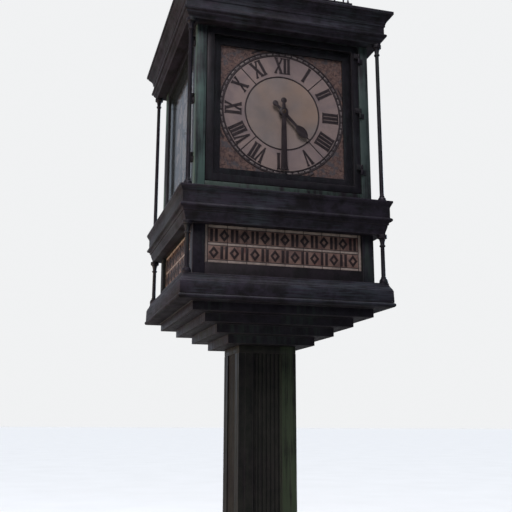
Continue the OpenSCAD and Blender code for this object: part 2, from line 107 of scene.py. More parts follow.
world = bpy.data.worlds.new("backlit_sky")
scene.world = world
world.use_nodes = True
sky = world.node_tree
sky.nodes.clear()
facing = add(sky, "ShaderNodeTexCoord", {}, {})
way = add(sky, "ShaderNodeSeparateXYZ", {}, {0: facing.outputs["Generated"]})
behind = add(sky, "ShaderNodeMapRange", {"interpolation_type": "SMOOTHSTEP"},
             {"Value": way.outputs["Y"], "From Min": -0.1, "From Max": 0.9,
              "To Min": 0.15, "To Max": 0.75})
glow = add(sky, "ShaderNodeBackground", {},
           {"Color": paint("#d3e0f2"), "Strength": behind.outputs["Result"]})
pale = add(sky, "ShaderNodeBackground", {}, {"Color": paint("#f5f6f7"), "Strength": 0.96})
seen = add(sky, "ShaderNodeLightPath", {}, {})
both = add(sky, "ShaderNodeMixShader", {},
           {0: seen.outputs["Is Camera Ray"], 1: glow.outputs[0], 2: pale.outputs[0]})
add(sky, "ShaderNodeOutputWorld", {}, {"Surface": both.outputs[0]})


def begin_finish(name):
    """A new material with its node tree, its shader and the place on the piece."""
    made = bpy.data.materials.new(name)
    made.use_nodes = True
    where = add(made.node_tree, "ShaderNodeTexCoord", {}, {})
    return made, made.node_tree, made.node_tree.nodes["Principled BSDF"], where.outputs["Object"]


# Troweled pale concrete with a faint mottling about a metre across. It throws less light up
# than it shows, so that the undersides of the ledges stay in shade as over a dark street.
concrete, tree, concrete_shader, spot = begin_finish("troweled_concrete")
mottle = add(tree, "ShaderNodeTexNoise", {}, {"Vector": spot, "Scale": 0.8, "Detail": 8.0})
tint = add(tree, "ShaderNodeMix", {"data_type": "RGBA"},
           {0: mottle.outputs["Fac"], 6: paint("#e6e6e5"), 7: paint("#f1f1f1")})
straight = add(tree, "ShaderNodeLightPath", {}, {})
street = add(tree, "ShaderNodeMix", {"data_type": "RGBA"},
             {0: straight.outputs["Is Camera Ray"], 6: paint("#6e6b68"), 7: tint.outputs[2]})
tree.links.new(street.outputs[2], concrete_shader.inputs["Base Color"])
concrete_shader.inputs["Roughness"].default_value = 0.9
bpy.ops.mesh.primitive_circle_add(vertices=96, radius=600, fill_type="NGON")
floor = bpy.context.object
floor.name = "floor"
floor.data.materials.append(concrete)

# ---- Footing plate, tie rods and nuts ------------------------------------------------------
# A flame-cut steel plate under the plinth takes four anchor bolts and the supply conduit. Four
# threaded rods run up inside the post and clamp the head to it. All are hot-dip galvanised,
# which gives a dull grey with a faint spangle.


def body_of(node):
    groups = frame["record"]["behaviour"]["bodies"]
    return next(body for body, nodes in groups.items() if node in nodes)


# Hot-dipped zinc: flat grey crystals about 12 mm across, duller in patches of 100 mm or so
# where the zinc has aged.
STEEL, tree, steel_shader, spot = begin_finish("galvanised_steel")
spangle = add(tree, "ShaderNodeTexVoronoi", {}, {"Vector": spot, "Scale": 80.0})
cloud = add(tree, "ShaderNodeTexNoise", {}, {"Vector": spot, "Scale": 9.0, "Detail": 6.0})
grey = add(tree, "ShaderNodeMix", {"data_type": "RGBA"},
           {0: spangle.outputs["Distance"], 6: paint("#75777a"), 7: paint("#8d9093")})
aged = add(tree, "ShaderNodeMix", {"data_type": "RGBA"},
           {0: cloud.outputs["Fac"], 6: grey.outputs[2], 7: paint("#5f5f5e")})
zinc_rough = add(tree, "ShaderNodeMapRange", {},
                 {"Value": cloud.outputs["Fac"], "To Min": 0.38, "To Max": 0.68})
tree.links.new(aged.outputs[2], steel_shader.inputs["Base Color"])
tree.links.new(zinc_rough.outputs["Result"], steel_shader.inputs["Roughness"])
steel_shader.inputs["Metallic"].default_value = 0.8


def finish_as(piece, material):
    piece.data.materials.clear()
    piece.data.materials.append(material)


def pick(*pieces):
    """Leaves only these pieces selected, with the first of them active."""
    bpy.ops.object.select_all(action="DESELECT")
    for piece in pieces:
        piece.select_set(True)
    bpy.context.view_layer.objects.active = pieces[0]


def bevelled(piece, width, angle=30):
    """Eases the edges sharper than angle and smooths the round surfaces."""
    pick(piece)
    if width:
        ease = piece.modifiers.new("ease", "BEVEL")
        ease.width = width
        ease.segments = 2
        ease.limit_method = "ANGLE"
        ease.angle_limit = math.radians(angle)
        bpy.ops.object.modifier_apply(modifier="ease")
    bpy.ops.object.shade_smooth_by_angle(angle=math.radians(angle + 5))


def eased(node, width, material):
    """A merged copy of a CAD node's mesh with its edges broken as a fitter would file them."""
    bpy.ops.object.select_all(action="DESELECT")
    bpy.ops.mesh.primitive_plane_add()
    piece = bpy.context.object
    piece.name = node + "_eased"
    piece.data = frame["nodes"][node].data.copy()
    bpy.ops.object.mode_set(mode="EDIT")
    bpy.ops.mesh.select_all(action="SELECT")
    bpy.ops.mesh.remove_doubles(threshold=0.00002)
    bpy.ops.mesh.dissolve_limited(angle_limit=math.radians(1))
    bpy.ops.object.mode_set(mode="OBJECT")
    bevelled(piece, width)
    finish_as(piece, material)
    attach(piece, body_of(node))
    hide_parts(node)


eased("footing_plate", 0.002, STEEL)
eased("tie_rod_nuts", 0.001, STEEL)
for hidden in ("tie_rods", "chamber_floor", "lamp_mast"):
    finish_as(frame["nodes"][hidden], STEEL)

# ---- Plinth, its cap and the access door ---------------------------------------------------
# Cast bronze box on the plate with a moulded cap that carries the post. A flush door in its
# back, hung on two lift-off hinges, gives access to the time switch.


def patinated_bronze(name, brown, shade, green, cover, streak_low, grain,
                     weathering_and_side_light=("X", 0.0, 1.0, 1.0), gloss=(0.36, 0.72), edge=0.6):
    """Street bronze: a thin brown-black oxide in clouds about 80 mm across, with grey-green
    verdigris runs below the ledges, grime on what faces up, and edges lightened partly as bare
    metal from rubbing and partly as a painted highlight where they catch the light. grain is one
    over a run's width, depth and length in metres, and streak_low sets how far it spreads. The
    sand-cast skin is drawn 4 mm coarse, so that it shows."""
    made, tree, shader, spot = begin_finish(name)
    cloud = add(tree, "ShaderNodeTexNoise", {}, {"Vector": spot, "Scale": 12.0, "Detail": 9.0,
                                                 "Roughness": 0.72})
    mottled = add(tree, "ShaderNodeMapRange", {"interpolation_type": "SMOOTHSTEP"},
                  {"Value": cloud.outputs["Fac"], "From Min": 0.36, "From Max": 0.64})
    body = add(tree, "ShaderNodeMix", {"data_type": "RGBA"},
               {0: mottled.outputs["Result"], 6: paint(brown), 7: paint(shade)})
    drawn = add(tree, "ShaderNodeMapping", {}, {"Vector": spot, "Scale": grain})
    runs = add(tree, "ShaderNodeTexNoise", {}, {"Vector": drawn.outputs["Vector"], "Scale": 1.0,
                                                "Detail": 7.0, "Roughness": 0.66})
    patch = add(tree, "ShaderNodeTexNoise", {}, {"Vector": spot, "Scale": 2.2, "Detail": 5.0})
    wet = add(tree, "ShaderNodeMath", {"operation": "MULTIPLY"},
              {0: runs.outputs["Fac"], 1: patch.outputs["Fac"]})
    bloom = add(tree, "ShaderNodeMapRange", {"interpolation_type": "SMOOTHSTEP"},
                {"Value": wet.outputs[0], "From Min": streak_low, "From Max": streak_low + 0.13,
                 "To Max": cover})
    # the green fades along one axis of the piece between two levels; on the upper piers the green
    # left on the right-hand side is partly painted cool light from the right
    across = add(tree, "ShaderNodeSeparateXYZ", {}, {0: spot})
    axis, full_green_at, least_green_at, least = weathering_and_side_light
    weathering_and_side_light_fade = add(tree, "ShaderNodeMapRange", {},
              {"Value": across.outputs[axis], "From Min": full_green_at, "From Max": least_green_at,
               "To Min": 1.0, "To Max": least})
    shown = add(tree, "ShaderNodeMath", {"operation": "MULTIPLY"},
                {0: bloom.outputs["Result"], 1: weathering_and_side_light_fade.outputs["Result"]})
    streaked = add(tree, "ShaderNodeMix", {"data_type": "RGBA"},
                   {0: shown.outputs[0], 6: body.outputs[2], 7: paint(green)})
    face = add(tree, "ShaderNodeNewGeometry", {}, {})
    up = add(tree, "ShaderNodeSeparateXYZ", {}, {0: face.outputs["Normal"]})
    settled = add(tree, "ShaderNodeMapRange", {"interpolation_type": "SMOOTHSTEP"},
                  {"Value": up.outputs["Z"], "From Min": 0.35, "From Max": 1.0, "To Max": 0.4})
    grimy = add(tree, "ShaderNodeMix", {"data_type": "RGBA"},
                {0: settled.outputs["Result"], 6: streaked.outputs[2], 7: paint("#4c5053")})
    # edges are lightened towards #6a6266: partly bare metal from rubbing, partly a painted
    # highlight where edges catch the light
    soft = add(tree, "ShaderNodeBevel", {"samples": 4}, {"Radius": 0.005})
    turned = add(tree, "ShaderNodeVectorMath", {"operation": "DOT_PRODUCT"},
                 {0: soft.outputs[0], 1: face.outputs["Normal"]})
    edge_wear_and_highlight = add(tree, "ShaderNodeMapRange", {},
                 {"Value": turned.outputs["Value"], "From Min": 0.995, "From Max": 0.86,
                  "To Max": edge})
    mottled_edge_wear_and_highlight = add(tree, "ShaderNodeMath", {"operation": "MULTIPLY"},
               {0: edge_wear_and_highlight.outputs["Result"], 1: cloud.outputs["Fac"]})
    colour = add(tree, "ShaderNodeMix", {"data_type": "RGBA"},
                 {0: mottled_edge_wear_and_highlight.outputs[0], 6: grimy.outputs[2], 7: paint("#6a6266")})
    rough = add(tree, "ShaderNodeMapRange", {},
                {"Value": runs.outputs["Fac"], "From Min": 0.3, "From Max": 0.7,
                 "To Min": gloss[0], "To Max": gloss[1]})
    sand = add(tree, "ShaderNodeTexNoise", {}, {"Vector": spot, "Scale": 240.0, "Detail": 3.0})
    dents = add(tree, "ShaderNodeTexNoise", {}, {"Vector": spot, "Scale": 14.0, "Detail": 4.0})
    relief = add(tree, "ShaderNodeMath", {"operation": "MULTIPLY_ADD"},
                 {0: dents.outputs["Fac"], 1: 3.0, 2: sand.outputs["Fac"]})
    bump = add(tree, "ShaderNodeBump", {}, {"Strength": 0.35, "Distance": 0.0012,
                                            "Height": relief.outputs[0]})
    tree.links.new(colour.outputs[2], shader.inputs["Base Color"])
    tree.links.new(rough.outputs["Result"], shader.inputs["Roughness"])
    tree.links.new(bump.outputs[0], shader.inputs["Normal"])
    shader.inputs["Metallic"].default_value = 0.25
    shader.inputs["Specular IOR Level"].default_value = 0.28
    return made


# rain draws the verdigris downwards on flat work, in runs 25 mm wide and half a metre long;
# on the mouldings it lies lengthways, in lines 7 mm high
BRONZE = patinated_bronze("patinated_bronze", "#2a2732", "#18171f", "#3a4844", 0.5, 0.24,
                          (38.0, 38.0, 2.2))
# the mouldings' edges are lightened more strongly, partly wear and partly a painted highlight
# along the noses
MOULDING = patinated_bronze("patinated_bronze_moulding", "#312d3a", "#17161b", "#4a555e", 0.45,
                            0.22, (7.0, 7.0, 150.0), gloss=(0.5, 0.85), edge=0.9)


def draw(name, points, closed=True):
    """Draws a line by extruding one vertex from point to point, and stays in edit mode."""
    bpy.ops.object.select_all(action="DESELECT")
    bpy.ops.mesh.primitive_plane_add(size=0.01)
    piece = bpy.context.object
    piece.name = name
    bpy.ops.object.mode_set(mode="EDIT")
    bpy.ops.mesh.select_all(action="SELECT")
    bpy.ops.mesh.merge(type="CENTER")
    bpy.ops.transform.translate(value=points[0])
    for start, end in zip(points, points[1:] + points[:1] if closed else points[1:]):
        step = [b - a for a, b in zip(start, end)]
        bpy.ops.mesh.extrude_region_move(TRANSFORM_OT_translate={"value": step})
    bpy.ops.mesh.select_all(action="SELECT")
    bpy.ops.mesh.remove_doubles(threshold=0.00001)
    return piece


def close_mesh():
    """Merges the doubled points, turns the faces outwards and leaves edit mode."""
    bpy.ops.mesh.select_all(action="SELECT")
    bpy.ops.mesh.remove_doubles(threshold=0.00001)
    bpy.ops.mesh.normals_make_consistent(inside=False)
    bpy.ops.object.mode_set(mode="OBJECT")


def spun(name, points, steps, width, axis=(0, 0, 1), closed=True):
    """Spins a profile all the way round the axis: 4 steps make mitred work, more a turned one."""
    piece = draw(name, points, closed)
    bpy.ops.mesh.spin(steps=steps, angle=2 * math.pi, center=(0, 0, 0), axis=axis)
    close_mesh()
    bevelled(piece, width, angle=25)
    return piece


def settle(piece, place=(0, 0, 0), turn=(0, 0, 0)):
    """Turns and moves a piece in its mesh, so that its object stays at the origin."""
    piece.location, piece.rotation_euler = place, turn
    pick(piece)
    bpy.ops.object.transform_apply(location=True, rotation=True, scale=True)


def mitred(name, profile, level, width, material, node):
    """Square moulding with mitred corners; profile is (half width, height) from the level."""
    piece = spun(name, [(w, w, level + z) for w, z in profile], 4, width)
    finish_as(piece, material)
    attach(piece, "root")
    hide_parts(node)


def ogee(low, high, n=14):
    """S-shaped moulding between two profile points, upright at both ends."""
    return [(low[0] + (high[0] - low[0]) * (1 - math.cos(math.pi * i / n)) / 2,
             low[1] + (high[1] - low[1]) * i / n) for i in range(n + 1)]


def bead(half, height, radius, n=12):
    """Half-round bead standing out from the profile."""
    return [(half + radius * math.cos(math.pi * (i / n - 0.5)),
             height + radius * math.sin(math.pi * (i / n - 0.5))) for i in range(n + 1)]


eased("plinth", 0.004, BRONZE)
cap_low, cap_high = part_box("plinth_cap")
cap_h = cap_high.z - cap_low.z
post_low, post_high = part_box("post_casing")
post_half = post_high.x
post_in = post_half - 0.026
neck = post_half + 0.024
mitred("plinth_cap_moulding",
       [(post_in, 0), (cap_high.x, 0), (cap_high.x, 0.018)]
       + ogee((cap_high.x - 0.008, 0.022), (neck + 0.008, cap_h - 0.026))
       + [(neck, cap_h - 0.022), (neck, cap_h), (post_in, cap_h)],
       cap_low.z, 0.001, MOULDING, "plinth_cap")
eased("access_door", 0.002, BRONZE)

# a planted half-round frames a panel on each of the three plain faces; the back has the door
plinth_low, plinth_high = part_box("plinth")
skirt_h, skirt_out = 0.120, 0.040
panel_margin, round_r = 0.055, 0.008
die_half, die_low = plinth_high.x - skirt_out, plinth_low.z + skirt_h
panel_half = die_half - panel_margin
panel_drop = 2 * die_half - (plinth_high.z - die_low)
half_turn = [math.pi * i / 8 for i in range(9)]
planted = ([(panel_half - round_r, 0.001)]
           + [(panel_half - round_r * math.cos(t), -round_r * math.sin(t)) for t in half_turn]
           + [(panel_half + round_r, 0.001)])
for name, turn in (("front", 0), ("right", math.pi / 2), ("left", -math.pi / 2)):
    moulding = spun("plinth_panel_" + name, [(w, out - die_half, w) for w, out in planted], 4, 0,
                    axis=(0, 1, 0))
    for vertex in moulding.data.vertices:
        if vertex.co.z > 0:
            vertex.co.z -= panel_drop
    settle(moulding, (0, 0, die_low + die_half), (0, 0, turn))
    finish_as(moulding, BRONZE)
    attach(moulding, "root")

# ---- Fluted post ---------------------------------------------------------------------------
# Square cast-bronze casing in one length. Each face has a recessed panel of seven upright
# flutes between flat corner strips, each strip split by a small quirk, and plain end bands.
FLUTES = 7
flute_r, recess, quirk_r = 0.009, 0.008, 0.0025
panel = post_half / 2
flute_pitch = 2 * panel / FLUTES


def hollow(x, radius, drop, depth, n=8):
    """A round hollow in a face at distance depth: its arc from left to right, cut inwards by
    radius - drop from a centre that lies drop outside the face."""
    half = math.sqrt(radius ** 2 - drop ** 2)
    reach = math.atan2(half, drop)
    return [(x + radius * math.sin(reach * (2 * i / n - 1)),
             -(depth + drop - radius * math.cos(reach * (2 * i / n - 1))))
            for i in range(n + 1)]


def prism(name, points, step, width=0.0):
    """Draws an outline, fills it and pulls it out by step into a solid."""
    piece = draw(name, points)
    bpy.ops.mesh.edge_face_add()
    bpy.ops.mesh.extrude_region_move(TRANSFORM_OT_translate={"value": step})
    close_mesh()
    bevelled(piece, width)
    return piece


face_line = hollow(-panel - 0.05, quirk_r, 0.0, post_half, 6)
face_line += [(-panel, -post_half), (-panel, -(post_half - recess))]
for i in range(FLUTES):
    face_line += hollow(-panel + flute_pitch * (i + 0.5), flute_r, 0.002, post_half - recess)
face_line += [(panel, -(post_half - recess)), (panel, -post_half)]
face_line += hollow(panel + 0.05, quirk_r, 0.0, post_half, 6)
outline = []
for k in range(4):
    c, s = math.cos(k * math.pi / 2), math.sin(k * math.pi / 2)
    outline += [(-post_half * c + post_half * s, -post_half * s - post_half * c)]
    outline += [(x * c - y * s, x * s + y * c) for x, y in face_line]
band = 0.045
shaft_low, shaft_high = post_low.z + band, post_high.z - band
post = prism("post_shaft", [(x, y, shaft_low) for x, y in outline],
             (0, 0, shaft_high - shaft_low))
# the green runs more thickly down the right-hand side of the post
POST_BRONZE = patinated_bronze("patinated_bronze_post", "#2c292a", "#19191b", "#4d5b46", 0.85,
                               0.15, (42.0, 42.0, 1.8), ("X", 0.095, 0.075, 0.12))
finish_as(post, POST_BRONZE)
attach(post, "root")
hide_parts("post_casing")
for name, level in (("post_foot_band", post_low.z), ("post_head_band", post_high.z - band)):
    mitred(name, [(post_in, 0), (post_half, 0), (post_half, band), (post_in, band)],
           level, 0.003, POST_BRONZE, "post_casing")

# ---- Stepped corbel and base ledge ---------------------------------------------------------
# Sheet-bronze boxes, each wider than the one below, spread the load of the head onto the post,
# with a drip groove under each step. A cast ledge with a half-round nose runs round the top.
corbel_low, corbel_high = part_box("corbel")
tier_half = corbel_high.x + 0.009
STEPS = 4
step_h = (corbel_high.z - corbel_low.z) / STEPS
lowest = post_half + 0.088
step_in = (corbel_high.x - lowest) / (STEPS - 1)
sheet = 0.008
under = [(post_in, 0)]
for i in range(STEPS):
    half, rise = lowest + i * step_in, i * step_h
    under += [(half - 0.016, rise), (half - 0.016, rise + 0.002), (half - 0.010, rise + 0.002),
              (half - 0.010, rise), (half, rise), (half, rise + step_h)]
over = [(lowest + i * step_in - sheet, i * step_h + rise)
        for i in reversed(range(STEPS)) for rise in (step_h, sheet)]
mitred("corbel_steps", under + over + [(post_in, sheet)], corbel_low.z, 0.0009, BRONZE, "corbel")

ledge_low, ledge_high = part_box("base_ledge")
ledge_h = ledge_high.z - ledge_low.z
mitred("base_ledge_moulding",
       [(tier_half, 0), (tier_half + 0.074, 0)] + bead(tier_half + 0.076, 0.013, 0.012)
       + [(tier_half + 0.081, 0.027), (tier_half + 0.079, ledge_h - 0.045)]
       + ogee((tier_half + 0.076, ledge_h - 0.042), (tier_half + 0.063, ledge_h - 0.014))
       + [(tier_half + 0.060, ledge_h - 0.012), (tier_half + 0.060, ledge_h),
          (tier_half, ledge_h)],
       ledge_low.z, 0.0012, MOULDING, "base_ledge")

# ---- Corner piers, rails and mid ledge -----------------------------------------------------
# Square bronze-clad piers stand at the corners, with flat bars between them above and below each
# opening. Rain off the ledges has turned the piers grey-green; on the right-hand upper piers part
# of that green is painted cool light from the right.
VERDIGRIS_AND_COOL_LIGHT = patinated_bronze("verdigris_bronze", "#3b3d42", "#25262b", "#64807a", 0.8, 0.17,
                             (30.0, 30.0, 1.4), ("X", -0.45, 0.45, 0.42))
eased("lower_piers", 0.003, BRONZE)
eased("upper_piers", 0.003, VERDIGRIS_AND_COOL_LIGHT)
RAIL_BRONZE = patinated_bronze("patinated_bronze_rails", "#29222a", "#19161a", "#465a53", 0.8,
                               0.16, (24.0, 24.0, 9.0), ("Z", 2.9, 2.6, 0.04))
eased("frame_rails", 0.002, RAIL_BRONZE)

mid_low, mid_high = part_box("mid_ledge")
mid_h = mid_high.z - mid_low.z
mitred("mid_ledge_moulding",
       [(tier_half, 0)] + ogee((tier_half + 0.052, 0), (tier_half + 0.064, 0.054))
       + [(tier_half + 0.070, 0.056), (tier_half + 0.070, 0.066), (tier_half + 0.075, 0.070)]
       + bead(tier_half + 0.076, 0.084, 0.012)
       + [(tier_half + 0.076, 0.099), (tier_half + 0.076, mid_h - 0.040)]
       + ogee((tier_half + 0.078, mid_h - 0.038), (tier_half + 0.087, mid_h - 0.015))
       + [(tier_half + 0.091, mid_h - 0.013), (tier_half + 0.091, mid_h), (tier_half, mid_h)],
       mid_low.z, 0.0012, MOULDING, "mid_ledge")

# ---- Corner columns ------------------------------------------------------------------------
# Turned bronze colonettes stand free at each corner of both tiers: a knob foot, a slim
# tapering shaft and a bell capital, each turned in one length.


def own_copy(piece):
    """A copy that has its own mesh."""
    made = piece.copy()
    made.data = piece.data.copy()
    scene.collection.objects.link(made)
    return made


def column_set(node, shaft, name):
    """Four turned columns, one at each corner of the node's box."""
    low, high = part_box(node)
    r, tall = shaft / 2, high.z - low.z
    at = high.x - 2.2 * r
    foot, bell = 0.036, 0.061
    line = [(0, 0), (2 * r, 0), (2 * r, 0.008)]
    line += [(r + r * math.cos(math.pi * i / 20), 0.008 + 0.022 * math.sin(math.pi * i / 20))
             for i in range(11)]
    line += [(1.25 * r, foot - 0.006), (1.25 * r, foot), (r, foot + 0.004)]
    line += [(0.92 * r, tall - bell - 0.010), (1.35 * r, tall - bell - 0.008),
             (1.35 * r, tall - bell)]
    line += [(r + r * (1 - math.cos(math.pi * i / 20)),
              tall - bell + 0.041 * math.sin(math.pi * i / 20)) for i in range(11)]
    line += [(2.2 * r, tall - 0.020), (2.2 * r, tall), (0, tall)]
    first = spun(name, [(x, 0, low.z + z) for x, z in line], 32, 0.0008, closed=False)
    corners = [(-at, -at), (at, -at), (at, at), (-at, at)]
    pieces = [first] + [own_copy(first) for _ in corners[1:]]
    for piece, (x, y) in zip(pieces, corners):
        settle(piece, (x, y, 0))
    pick(*pieces)
    bpy.ops.object.join()
    finish_as(first, BRONZE)
    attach(first, "root")
    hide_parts(node)


column_set("lower_columns", 0.0252, "lower_colonettes")
column_set("upper_columns", 0.025, "upper_colonettes")

# ---- Cornice, roof and cresting ------------------------------------------------------------
# The cornice is run in four mitred lengths like the ledges. A low roof of folded sheet with
# standing seams rises behind it to a flat deck, edged with a pierced cast cresting.
cornice_low, cornice_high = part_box("cornice")
chamber_half = cornice_high.x - 0.129
cornice_h = cornice_high.z - cornice_low.z
mitred("cornice_moulding",
       [(chamber_half, 0), (chamber_half + 0.062, 0)]
       + ogee((chamber_half + 0.064, 0.004), (chamber_half + 0.082, 0.034))
       + bead(chamber_half + 0.083, 0.050, 0.012)
       + [(chamber_half + 0.082, 0.065), (chamber_half + 0.082, cornice_h - 0.091),
          (chamber_half + 0.088, cornice_h - 0.087), (chamber_half + 0.088, cornice_h - 0.072)]
       + ogee((chamber_half + 0.091, cornice_h - 0.070), (chamber_half + 0.120, cornice_h - 0.020))
       + [(chamber_half + 0.129, cornice_h - 0.018), (chamber_half + 0.129, cornice_h),
          (chamber_half, cornice_h)],
       cornice_low.z, 0.0012, MOULDING, "cornice")

roof_low, roof_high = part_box("roof")
crest_low, crest_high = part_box("cresting")
crest_half = crest_high.x
eave, rise, roof_t = roof_high.x, roof_high.z - roof_low.z - 0.005, 0.005
slope = [(0, rise), (crest_half + 0.006, rise), (eave, 0), (eave, roof_t),
         (crest_half + 0.010, rise + roof_t), (0, rise + roof_t)]
roof = spun("roof_sheet", [(w, w, roof_low.z + z) for w, z in slope], 4, 0, closed=False)
SEAM_T, SEAM_H, SEAM_SHORT = 0.008, 0.012, 0.014
seams = []
for i in range(-3, 4):
    x = i * crest_half / 3.5
    bpy.ops.object.select_all(action="DESELECT")
    bpy.ops.mesh.primitive_cube_add(size=1)
    seam = bpy.context.object
    seam.scale = (SEAM_T, 2 * (crest_half - SEAM_SHORT), SEAM_H)
    settle(seam, (x, 0, crest_low.z + SEAM_H / 2))
    bevelled(seam, 0.002)
    seams.append(seam)
pick(roof, *seams)
bpy.ops.object.join()
finish_as(roof, BRONZE)
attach(roof, "root")
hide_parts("roof")


def extruded(name, outline, start, depth, width=0.0):
    """Thickens an upright outline of (x, z) points along y, from y = start."""
    return prism(name, [(x, start, z) for x, z in outline], (0, depth, 0), width)


def placed_copy(piece, x=0.0, z=0.0, tilt=0.0):
    """A copy turned by tilt about the outward axis and then shifted."""
    made = own_copy(piece)
    settle(made, (x, 0, z), (0, tilt, 0))
    return made


def joined(name, pieces, unwanted=()):
    """Joins pieces of one casting or one glazed panel into the first and drops patterns."""
    pick(*pieces)
    bpy.ops.object.join()
    pieces[0].name = name
    for pattern in unwanted:
        bpy.data.objects.remove(pattern)
    return pieces[0]


SIDES = ("front", "right", "back", "left")


def on_all_sides(piece, stem, material, node):
    """Copies a finished front piece to the other three sides; {} in a name takes the side."""
    finish_as(piece, material)
    made = [piece] + [own_copy(piece) for _ in SIDES[1:]]
    for k, (side, one) in enumerate(zip(SIDES, made)):
        one.name = stem.format(side)
        settle(one, turn=(0, 0, k * math.pi / 2))
        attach(one, "root")
        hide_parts(node.format(side))


CREST_T, CREST_RAIL, RING_R, RING_W = 0.008, 0.014, 0.026, 0.008
crest_h = crest_high.z - crest_low.z
ring_count = round(2 * crest_half / (2 * RING_R + 0.008))
ring_pitch = 2 * crest_half / ring_count
ring_mid = CREST_RAIL + RING_R - 0.002
spear = extruded("spear", [(-0.004, 0.010), (0.004, 0.010), (0.004, crest_h - 0.044),
                           (0.013, crest_h - 0.030), (0, crest_h), (-0.013, crest_h - 0.030),
                           (-0.004, crest_h - 0.044)], -crest_half, CREST_T, 0.001)
ring = spun("ring", [(RING_R - RING_W, -crest_half + 0.001, 0), (RING_R, -crest_half + 0.001, 0),
                     (RING_R, -crest_half + CREST_T - 0.001, 0),
                     (RING_R - RING_W, -crest_half + CREST_T - 0.001, 0)],
            20, 0.001, axis=(0, 1, 0))
lengths = [placed_copy(ring, -crest_half + (i + 0.5) * ring_pitch, crest_low.z + ring_mid)
           for i in range(ring_count)]
lengths += [placed_copy(spear, -crest_half + i * ring_pitch, crest_low.z)
            for i in range(1, ring_count)]
joined("cresting_fretwork", lengths, (ring, spear))
on_all_sides(lengths[0], "cresting_{}", BRONZE, "cresting")
for name, foot, tall in (("cresting_foot_rail", 0, CREST_RAIL),
                         ("cresting_top_rail", ring_mid + RING_R - 0.006, 0.012)):
    mitred(name, [(crest_half - CREST_T, 0), (crest_half, 0), (crest_half, tall),
                  (crest_half - CREST_T, tall)], crest_low.z + foot, 0.001, BRONZE, "cresting")

# ---- Bezels, doors, hinges and cover glass -------------------------------------------------
# A flat square bezel holds each dial. In front of it a glazed door swings on three lift-off
# hinges at its right edge; its rails are cast bronze and its pane is plain float glass.
eased("hinge_halves", 0.0002, BRONZE)
# the doors and bezels take a darker copy of the bronze as painted shade from the cornice, so they
# stay nearly black
DOOR_PAINTED_SHADE_BRONZE = patinated_bronze("painted_shade_bronze_doors", "#211f27", "#131319", "#303a3d", 0.4,
                                 0.24, (38.0, 38.0, 2.2))
eased("dial_bezels", 0.003, DOOR_PAINTED_SHADE_BRONZE)
for side in SIDES:
    eased("door_" + side, 0.0025, DOOR_PAINTED_SHADE_BRONZE)

# Float glass: clear and smooth, almost invisible face on and a mirror at a low angle, with a
# film of street dust that lifts it slightly. Its dirt is coarser than life so that it shows.
float_glass, tree, glass_shader, spot = begin_finish("float_glass")
film = add(tree, "ShaderNodeTexNoise", {},
           {"Vector": spot, "Scale": 6.0, "Detail": 10.0, "Roughness": 0.7})
haze = add(tree, "ShaderNodeMapRange", {},
           {"Value": film.outputs["Fac"], "From Min": 0.35, "From Max": 0.8, "To Min": 0.0,
            "To Max": 0.08})
graze = add(tree, "ShaderNodeLayerWeight", {}, {"Blend": 0.5})
mirror = add(tree, "ShaderNodeMath", {"operation": "POWER"}, {0: graze.outputs["Facing"], 1: 4.0})
veil = add(tree, "ShaderNodeMath", {"operation": "MULTIPLY_ADD", "use_clamp": True},
           {0: mirror.outputs[0], 1: 0.9, 2: haze.outputs["Result"]})
smear = add(tree, "ShaderNodeMapRange", {},
            {"Value": film.outputs["Fac"], "To Min": 0.02, "To Max": 0.12})
tree.links.new(veil.outputs[0], glass_shader.inputs["Alpha"])
tree.links.new(smear.outputs["Result"], glass_shader.inputs["Roughness"])
glass_shader.inputs["Base Color"].default_value = paint("#2b3233")
glass_shader.inputs["IOR"].default_value = 1.52
for side in SIDES:
    finish_as(frame["nodes"]["door_glass_" + side], float_glass)

# ---- Leaded dials --------------------------------------------------------------------------
# Each dial is a leaded light: an opal centre disc, a chapter ring in four lengths, a band of
# small cast jewels for the minutes and mottled corner lights, all held in half-round lead
# cames soldered at the joints. The numerals are cut sheet metal, soldered to the cames.
dial_low, dial_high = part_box("dial_front")
dial_z = (dial_low.z + dial_high.z) / 2
dial_edge = dial_high.x
DIAL_BACK, DIAL_FACE = dial_high.y, dial_low.y + 0.0035
CAME_FACE = dial_low.y
PIPE_HOLE = 0.013
CENTRE_R, CHAPTER_R, MINUTE_R, ARC_R = 0.229, 0.364, 0.388, 0.408


